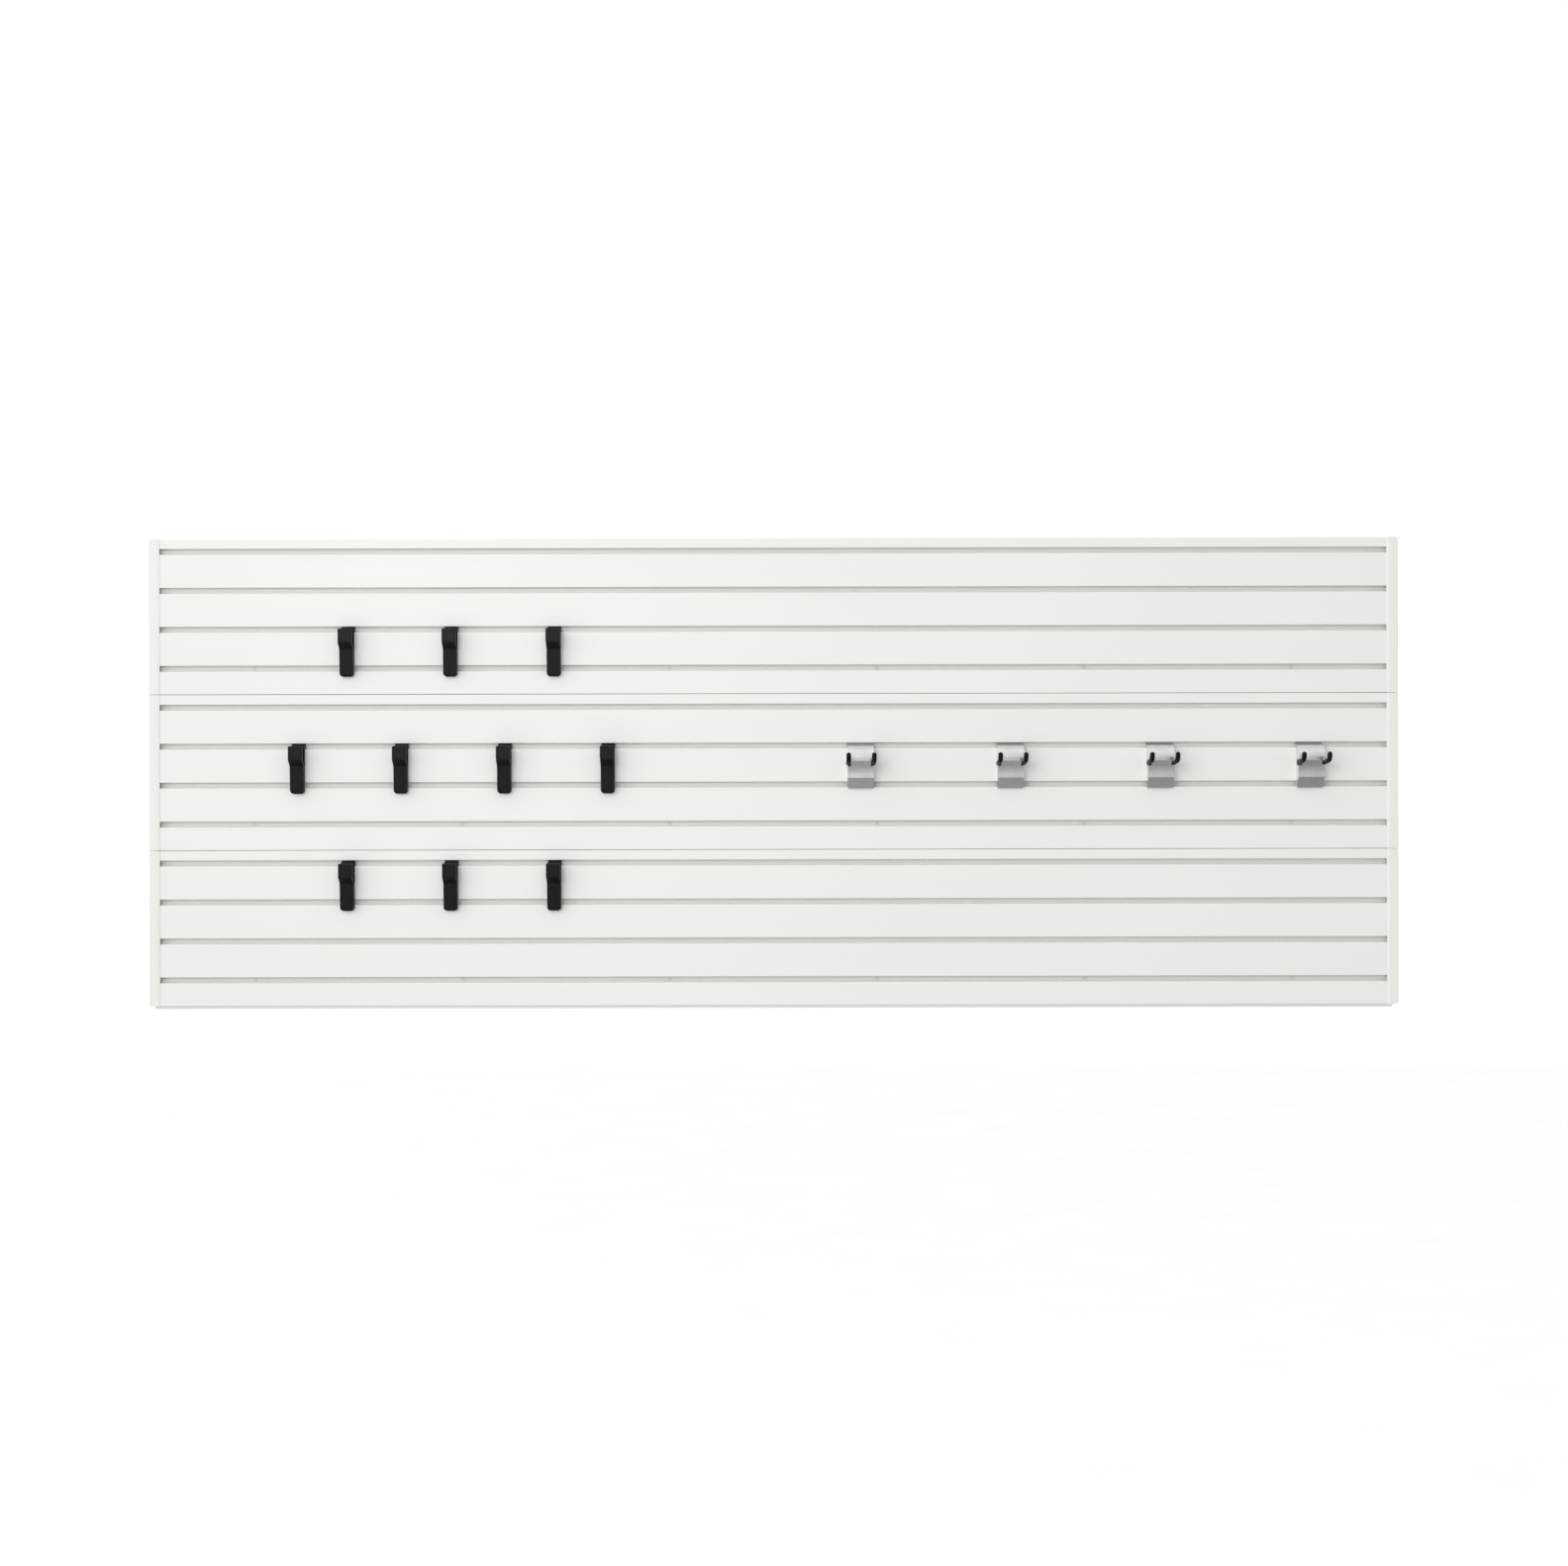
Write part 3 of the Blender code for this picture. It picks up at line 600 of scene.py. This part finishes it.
def trim_corners(side, low, high):
    """Plan view of one U channel as (x, y)."""
    outer = high.x if side > 0 else -low.x
    inner = low.x if side > 0 else -high.x
    front = low.y
    front_inner = FACE - GAP
    rear = high.y
    rear_inner = -REBATE_DEPTH + GAP
    wall_inner = PANEL_END + GAP
    leg = PANEL_END - REBATE_WIDTH + GAP
    corners = [
        (outer, front, 0.0022),
        (outer, rear, 0.0008),
        (leg, rear, 0.0003),
        (leg, rear_inner, 0.0003),
        (wall_inner, rear_inner, 0.0003),
        (wall_inner, front_inner, 0.0003),
        (inner, front_inner, 0.0001),
        (inner, front_inner - TRIM_EDGE, 0.0001),
        (inner + TRIM_LEAD, front, 0.0100),
    ]
    return [(side * x, y, radius) for x, y, radius in corners]


def set_silhouette():
    """The whole set seen from the front, with its four corners rounded."""
    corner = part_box("end_trim_top_right")[1]
    half_width = corner.x + TRIM_TOUCH
    half_height = corner.z + TRIM_TOUCH
    corners = [
        (-half_width, -half_height, TRIM_CORNER),
        (half_width, -half_height, TRIM_CORNER),
        (half_width, half_height, TRIM_CORNER),
        (-half_width, half_height, TRIM_CORNER),
    ]
    return prism("silhouette", rounded(corners, steps=12), -0.1, 0.1, FRONT_VIEW)


def make_trims(material):
    for word in PANEL_WORDS:
        for side, end in END_WORDS:
            name = f"end_trim_{word}_{end}"
            low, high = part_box(name)
            outline = rounded(trim_corners(side, low, high), steps=5)
            mesh = prism("trim", outline, low.z, high.z, Matrix())
            mesh = combined(mesh, [("INTERSECT", set_silhouette())])
            mesh = softened(mesh, width=0.00025, segments=2, angle=60)
            piece = new_object(name + "_skin", mesh, material)
            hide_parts(name)
            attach(piece, "panel_set")


# ------------------------------------------------------------------------ screws

def screw_head_mesh():
    """Countersunk head, its top at y = 0, with a cross recess."""
    outline = [
        (0, 0),
        (HEAD_RADIUS - HEAD_RIM, 0),
        (HEAD_RADIUS, HEAD_RIM),
        (SHANK_RADIUS, HEAD_HEIGHT),
        (SHANK_RADIUS, NECK_LENGTH),
        (0, NECK_LENGTH),
    ]
    head = lathe("head", outline, steps=32)
    blades = []
    for turn in (0, pi / 2):
        blade = box_mesh("blade", (-RECESS_REACH, -0.001, -RECESS_HALF_WIDTH),
                         (RECESS_REACH, RECESS_DEPTH, RECESS_HALF_WIDTH))
        blade.transform(Matrix.Rotation(turn, 4, "Y"))
        blades.append(("DIFFERENCE", blade))
    return softened(combined(head, blades), width=0.0001, segments=1, angle=50)


def screw_shank_mesh(length):
    """Threaded shank from just past the plain neck to its tip."""
    start = NECK_LENGTH + 0.0001
    pitch = 0.0024
    sides = 12
    per_turn = 5
    tip = 0.007
    tip_share = 0.08
    count = int((length - start) / pitch * per_turn)
    bm = bmesh.new()
    rings = []
    for ring in range(count + 1):
        y = start + (length - start) * ring / count
        taper = min(1.0, (length - y) / tip)
        loop = []
        for step in range(sides):
            phase = y / pitch - step / sides
            ridge = max(0.0, 1 - abs(phase - floor(phase) - 0.5) * 5)
            radius = ROOT_RADIUS + (SHANK_RADIUS - ROOT_RADIUS) * ridge
            radius *= tip_share + (1 - tip_share) * taper
            angle = 2 * pi * step / sides
            loop.append(bm.verts.new((radius * cos(angle), y, radius * sin(angle))))
        rings.append(loop)
    for first, second in zip(rings, rings[1:]):
        for step in range(sides):
            following = (step + 1) % sides
            bm.faces.new((first[step], first[following], second[following], second[step]))
    bm.faces.new(rings[0])
    bm.faces.new(rings[-1])
    mesh = mesh_from("shank", bm)
    mesh.shade_smooth()
    return mesh


def make_screws(paint, zinc):
    low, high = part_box("screw_top_1")
    head_mesh = screw_head_mesh()
    shank_mesh = screw_shank_mesh(high.y - low.y)
    for word in PANEL_WORDS:
        for number in range(1, SCREW_COUNT + 1):
            name = f"screw_{word}_{number}"
            centre = node_centre(name)
            head = new_object(name + "_head", head_mesh, paint)
            shank = new_object(name + "_thread", shank_mesh, zinc)
            for piece in (head, shank):
                piece.location = (centre.x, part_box(name)[0].y, centre.z)
                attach(piece, "panel_set")
            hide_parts(name)


# ------------------------------------------------------------ hooks and brackets

def on_face(corners):
    """Corners given as (distance out of the panel's face, height) become (y, z)."""
    return [(FACE - out, height, radius) for out, height, radius in corners]


def flange_corners(neck_top):
    """The tab behind the slot's upper lip, down to the top of the neck."""
    return [
        (FLANGE_BACK, FLANGE_RISE, 0.0008),
        (FLANGE_FRONT, FLANGE_RISE, 0.0008),
        (FLANGE_FRONT, neck_top, 0.0003),
    ]


def bottom_corners(half_width, height, radius):
    """Cutters that round an accessory's two bottom corners as seen from the front."""
    bottom = -height - BEYOND
    steps = 8
    cuts = []
    for side, _ in END_WORDS:
        outline = []
        for step in range(steps + 1):
            angle = radians(90) * step / steps
            across = half_width - radius + radius * cos(angle)
            outline.append((side * across, radius - radius * sin(angle) - height))
        outline += [
            (side * (half_width - radius), bottom),
            (side * (half_width + BEYOND), bottom),
            (side * (half_width + BEYOND), radius - height),
        ]
        cuts.append(("DIFFERENCE", prism("corner", outline, -0.1, 0.1, FRONT_VIEW)))
    return cuts


# ------------------------------------------------------------------------- hooks

def hook_corners():
    inner_tip = HOOK_REACH - HOOK_TIP_DEPTH
    return on_face(flange_corners(HOOK_NECK_TOP) + [
        (HOOK_PLATE, HOOK_NECK_TOP, 0.0035),
        (HOOK_PLATE, -HOOK_CRADLE_FLOOR, 0.0025),
        (HOOK_PLATE + HOOK_CRADLE_FLAT, -HOOK_CRADLE_FLOOR, 0.0020),
        (inner_tip, HOOK_CRADLE_RISE - HOOK_CRADLE_FLOOR, 0.0050),
        (inner_tip, 0, 0.0030),
        (HOOK_REACH, 0, 0.0040),
        (HOOK_REACH, -HOOK_TIP_HEIGHT, 0.0030),
        (HOOK_WAIST, -HOOK_WAIST_DROP, 0.0060),
        (HOOK_FOOT, -HOOK_HEIGHT, 0.0060),
        (GAP, -HOOK_HEIGHT, 0.0015),
        (GAP, SEAT, 0.0003),
        (FLANGE_BACK, SEAT, 0.0008),
    ])


def hook_mesh():
    """One hook at x = 0 with its slot's centre line at z = 0."""
    half = HOOK_WIDTH / 2
    body = prism("hook", rounded(hook_corners(), steps=6), -half, half, SIDE_VIEW)
    edge = HOOK_TIP_WIDTH / 2
    back = FACE - (HOOK_REACH - HOOK_TIP_DEPTH - HOOK_TIP_PROUD)
    front = FACE - (HOOK_REACH + HOOK_TIP_PROUD)
    plan = [
        (-edge, back, 0.001),
        (-edge, front, 0.0035),
        (edge, front, 0.0035),
        (edge, back, 0.001),
    ]
    top = -HOOK_TIP_INSET
    block = prism("tip", rounded(plan, steps=5), top - (HOOK_TIP_HEIGHT - 0.005), top, Matrix())
    steps = [("UNION", block)] + bottom_corners(half, HOOK_HEIGHT, HOOK_BOTTOM_RADIUS)
    return softened(combined(body, steps), width=0.0009)


def make_hooks(material):
    mesh = hook_mesh()
    for row, count in HOOK_COUNTS.items():
        for number in range(1, count + 1):
            name = f"hook_{row}_{number}"
            low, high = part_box(name)
            piece = new_object(name + "_moulding", mesh, material)
            piece.location = ((low.x + high.x) / 2, 0, high.z - FLANGE_RISE)
            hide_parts(name)
            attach(piece, name)


# ---------------------------------------------------------------------- brackets

def crown_point(share, start, nose, top, offset=0.0):
    """A point on the quarter ellipse from the neck down to the nose."""
    angle = radians(90) * share
    out = start + (nose - start + offset) * sin(angle)
    height = -BRACKET_NOSE_DROP + (BRACKET_NOSE_DROP + top + offset) * cos(angle)
    return out, height


def outer_crown(step, offset=0.0):
    return crown_point(step / CROWN_STEPS, BRACKET_CROWN_START, BRACKET_NOSE,
                       BRACKET_NECK_TOP, offset)


def bracket_corners():
    crown = [(*outer_crown(step), 0) for step in range(CROWN_STEPS + 1)]
    return on_face(flange_corners(BRACKET_NECK_TOP) + crown + [
        (BRACKET_NOSE, -BRACKET_NOSE_DROP - 0.004, 0.0025),
        (BRACKET_WAIST, -BRACKET_WAIST_DROP, BRACKET_WAIST_RADIUS),
        (BRACKET_KINK, -BRACKET_KINK_DROP, 0.0008),
        (BRACKET_FOOT, -BRACKET_HEIGHT, 0.0030),
        (GAP, -BRACKET_HEIGHT, 0),
        (GAP, SEAT, 0.0003),
        (FLANGE_BACK, SEAT, 0.0008),
    ])


def bracket_hollow_corners():
    """The space behind the skin, open towards the wall."""
    nose = BRACKET_NOSE - BRACKET_SKIN
    steps = 12
    crown = []
    for step in range(1, steps + 1):
        crown.append((*crown_point(step / steps, 0.004, nose, -0.0055), 0))
    return on_face([(-BEYOND, -0.0075, 0), (0.0030, -0.0065, 0)] + crown + [
        (nose, -BRACKET_NOSE_DROP - 0.0035, 0.0010),
        (BRACKET_WAIST - BRACKET_SKIN, 0.0005 - BRACKET_WAIST_DROP, BRACKET_WAIST_RADIUS),
        (BRACKET_KINK - BRACKET_SKIN, 0.0007 - BRACKET_KINK_DROP, 0.0005),
        (BRACKET_FOOT - 0.0014, BRACKET_SKIN - BRACKET_HEIGHT, 0),
        (-BEYOND, BRACKET_SKIN - BRACKET_HEIGHT, 0),
    ])


def bracket_mesh():
    half = BRACKET_WIDTH / 2
    body = prism("bracket", rounded(bracket_corners(), steps=6), -half, half, SIDE_VIEW)
    inside = half - BRACKET_SKIN
    outline = rounded(bracket_hollow_corners(), steps=5)
    hollow = prism("hollow", outline, -inside, inside, SIDE_VIEW)
    steps = [("DIFFERENCE", hollow)] + bottom_corners(half, BRACKET_HEIGHT, BRACKET_BOTTOM_RADIUS)
    notch_top = PRONG_ROUTE[1][1] + NOTCH_ABOVE
    notch_bottom = PRONG_ROUTE[1][1] - NOTCH_BELOW
    for side, _ in END_WORDS:
        inner = side * (PRONG_SPACING / 2 - NOTCH_ASIDE)
        outer = side * (half + BEYOND)
        notch = box_mesh("notch", (min(inner, outer), FACE - BRACKET_NOSE - BEYOND, notch_bottom),
                         (max(inner, outer), FACE - NOTCH_WALL_SIDE, notch_top))
        steps.append(("DIFFERENCE", notch))
    return softened(combined(body, steps), width=0.0008)


def badge_mesh():
    """A blank raised pad on the crown between the prongs."""
    bm = bmesh.new()
    columns = 6
    grids = []
    for offset in BADGE_LAYERS:
        rows = []
        for row in range(BADGE_ROWS):
            out, height = outer_crown(BADGE_START + row * BADGE_STEP, offset)
            xs = [BADGE_HALF_WIDTH * (2 * column / columns - 1) for column in range(columns + 1)]
            rows.append([bm.verts.new((x, FACE - out, height)) for x in xs])
        grids.append(rows)
    strips = []
    for rows in grids:
        strips += zip(rows, rows[1:])
    strips.append([rows[0] for rows in grids])
    strips.append([rows[-1] for rows in grids])
    strips.append([[row[0] for row in rows] for rows in grids])
    strips.append([[row[-1] for row in rows] for rows in grids])
    for lower, upper in strips:
        for index in range(len(lower) - 1):
            bm.faces.new((lower[index], lower[index + 1], upper[index + 1], upper[index]))
    return softened(mesh_from("badge", bm), width=0.0003, segments=2)


def prong_line(side):
    """The corners of one prong's centre line, from the wall side out to its tip."""
    across = side * PRONG_SPACING / 2
    return [Vector((across, FACE - out, height)) for out, height in PRONG_ROUTE]


def shortened(points, length):
    """The same route with its last stretch made shorter."""
    direction = (points[-2] - points[-1]).normalized()
    return points[:-1] + [points[-1] + direction * length]


def rod_mesh():
    left = shortened(prong_line(-1), ROD_END_SHORT)
    right = shortened(prong_line(1), ROD_END_SHORT)
    route = filleted(list(reversed(left)) + right, PRONG_BEND, 10)
    return swept("rod", route_rings(route, ROD_RADIUS), sides=20)


def sleeve_mesh(side):
    """A sleeve with a rolled open end and a domed tip, as one closed skin."""
    line = prong_line(side)
    straight = (line[2] - line[1]).normalized()
    start = line[1] + straight * ((SLEEVE_START - PRONG_ROUTE[1][0]) / -straight.y)
    route = filleted([start, line[2], line[3]], PRONG_BEND, 10)
    along = (route[1] - route[0]).normalized()
    rings = [
        (start + along * 0.010, along, SLEEVE_BORE),
        (start + along * SLEEVE_ROLL, along, SLEEVE_BORE),
        (start, along, SLEEVE_BORE + 0.0003),
        (start, along, SLEEVE_RADIUS - SLEEVE_ROLL),
        (start + along * SLEEVE_ROLL, along, SLEEVE_RADIUS),
    ]
    upward = (route[-1] - route[-2]).normalized()
    base = route[-1] - upward * SLEEVE_RADIUS
    rings += route_rings(route, SLEEVE_RADIUS)[1:-1]
    rings.append((base, upward, SLEEVE_RADIUS))
    dome_steps = 8
    for step in range(1, dome_steps + 1):
        angle = radians(87) * step / dome_steps
        rise = upward * SLEEVE_RADIUS * sin(angle)
        rings.append((base + rise, upward, SLEEVE_RADIUS * cos(angle)))
    return swept("sleeve", rings, sides=24)


def make_brackets(plate, steel, vinyl):
    kinds = [
        ("body", "body_shell", bracket_mesh(), plate, "satin_steel"),
        (None, "blank_badge", badge_mesh(), plate, "satin_steel"),
        ("prong_rod", "prong_steel", rod_mesh(), steel, "bare_rod"),
        ("sleeve_left", "vinyl_left", sleeve_mesh(-1), vinyl, "black_vinyl"),
        ("sleeve_right", "vinyl_right", sleeve_mesh(1), vinyl, "black_vinyl"),
    ]
    for number in range(1, BRACKET_COUNT + 1):
        low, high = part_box(f"bracket_{number}_body")
        place = ((low.x + high.x) / 2, 0, high.z - FLANGE_RISE)
        for node, word, mesh, material, slot in kinds:
            piece = new_object(f"bracket_{number}_{word}", mesh, material)
            piece.location = place
            if node:
                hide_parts(f"bracket_{number}_{node}")
            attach(piece, f"bracket_{number}")


# ------------------------------------------------------------------------ studio

# How much of the face's plane the camera takes in, in metres; sensor and lens in mm.
VIEW_WIDTH = 3.066624
SENSOR = 36.0
LENS = 50.0
CAMERA_X = 0.021
CAMERA_Z = -0.0225
CAMERA_ROLL = 0.117
FLOOR_Z = -1.75
FLOOR_REACH = 9


def make_camera():
    """Square on with a very slight roll, a little right of the set's centre and below it."""
    data = bpy.data.cameras.new("camera")
    data.lens = LENS
    data.sensor_width = SENSOR
    camera = bpy.data.objects.new("camera", data)
    bpy.context.scene.collection.objects.link(camera)
    camera.location = (CAMERA_X, FACE - VIEW_WIDTH * LENS / SENSOR, CAMERA_Z)
    camera.rotation_euler = (radians(90), radians(CAMERA_ROLL), 0)
    bpy.context.scene.camera = camera


# Radiance of the studio: the same all round, then what is added towards a side as
# (direction, amount, sharpness). The far right is bright with a darker part before it.
# The last entry is left out of diffuse light, so it darkens reflections only.
SKY = 0.665
SKY_SIDES = (
    ((-1, 0, 0), 1.25, 2),
    ((1, 0, 0), -0.45, 1),
    ((1, 0, 0), 0.85, 6),
    ((0, 0, 1), 0.40, 1),
    ((0, 0, -1), -0.29, 1),
)


def make_world():
    """White to the camera, stronger from above and the sides, and dark below in reflections."""
    world = bpy.data.worlds.new("studio")
    bpy.context.scene.world = world
    world.use_nodes = True
    tree = world.node_tree
    tree.nodes.clear()
    link = tree.links.new
    where = tree.nodes.new("ShaderNodeTexCoord")
    totals = []
    for direction, amount, sharpness in SKY_SIDES:
        along = tree.nodes.new("ShaderNodeVectorMath")
        along.operation = "DOT_PRODUCT"
        along.inputs[1].default_value = direction
        link(where.outputs["Generated"], along.inputs[0])
        ahead = tree.nodes.new("ShaderNodeMath")
        ahead.operation = "MAXIMUM"
        ahead.inputs[1].default_value = 0
        link(along.outputs["Value"], ahead.inputs[0])
        narrowed = tree.nodes.new("ShaderNodeMath")
        narrowed.operation = "POWER"
        narrowed.inputs[1].default_value = sharpness
        link(ahead.outputs[0], narrowed.inputs[0])
        added = tree.nodes.new("ShaderNodeMath")
        added.operation = "MULTIPLY_ADD"
        added.inputs[1].default_value = amount
        added.inputs[2].default_value = SKY
        link(narrowed.outputs[0], added.inputs[0])
        if totals:
            link(totals[-1], added.inputs[2])
        totals.append(added.outputs[0])
    path = tree.nodes.new("ShaderNodeLightPath")
    chosen = tree.nodes.new("ShaderNodeMix")
    link(path.outputs["Is Diffuse Ray"], chosen.inputs["Factor"])
    link(totals[-1], chosen.inputs["A"])
    link(totals[-2], chosen.inputs["B"])
    light = tree.nodes.new("ShaderNodeBackground")
    link(chosen.outputs["Result"], light.inputs["Color"])
    seen = tree.nodes.new("ShaderNodeBackground")
    seen.inputs["Color"].default_value = (1, 1, 1, 1)
    seen.inputs["Strength"].default_value = 1.05
    mix = tree.nodes.new("ShaderNodeMixShader")
    output = tree.nodes.new("ShaderNodeOutputWorld")
    link(path.outputs["Is Camera Ray"], mix.inputs["Fac"])
    link(light.outputs[0], mix.inputs[1])
    link(seen.outputs[0], mix.inputs[2])
    link(mix.outputs[0], output.inputs["Surface"])


def area_light(name, place, target, size, watts):
    data = bpy.data.lights.new(name, "AREA")
    data.size = size
    data.energy = watts
    light = bpy.data.objects.new(name, data)
    bpy.context.scene.collection.objects.link(light)
    light.location = place
    light.rotation_euler = (Vector(target) - Vector(place)).to_track_quat("-Z", "Y").to_euler()


def make_floor():
    bm = bmesh.new()
    bmesh.ops.create_grid(bm, x_segments=1, y_segments=1, size=FLOOR_REACH)
    mesh = mesh_from("floor", bm)
    nodes = Nodes("pale_floor")
    grain = nodes.noise(3.0, 4.0)
    tone = nodes.blend(nodes.ramp(grain, 0.0, 1.0), colour(0.97, 0.97, 0.97),
                       colour(0.99, 0.99, 0.99))
    material = nodes.set(Base_Color=tone, Roughness=0.8)
    obj = new_object("floor", mesh, material)
    obj.location = (0, 0, FLOOR_Z)
    obj.visible_diffuse = False
    obj.visible_glossy = False


def make_studio():
    make_camera()
    make_world()
    make_floor()
    area_light("key", place=(-1.2, -3.8, 1.0), target=(0, 0, 0), size=1.3, watts=28)
    bpy.context.scene.view_settings.view_transform = "Standard"


def make_pieces():
    pvc = white_pvc("white_extruded_pvc", base=colour(0.885, 0.893, 0.855),
                    shade=colour(0.865, 0.873, 0.835), rough=0.40)
    trim = white_pvc("white_trim_pvc", base=colour(0.870, 0.878, 0.842),
                     shade=colour(0.855, 0.863, 0.825), rough=0.40)
    make_panels(pvc)
    make_trims(trim)
    make_screws(painted_screw(), plated_screw())
    make_hooks(black_plastic())
    make_brackets(silver_plate(), bare_rod(), black_vinyl())


make_studio()
make_pieces()

bpy.context.view_layer.update()
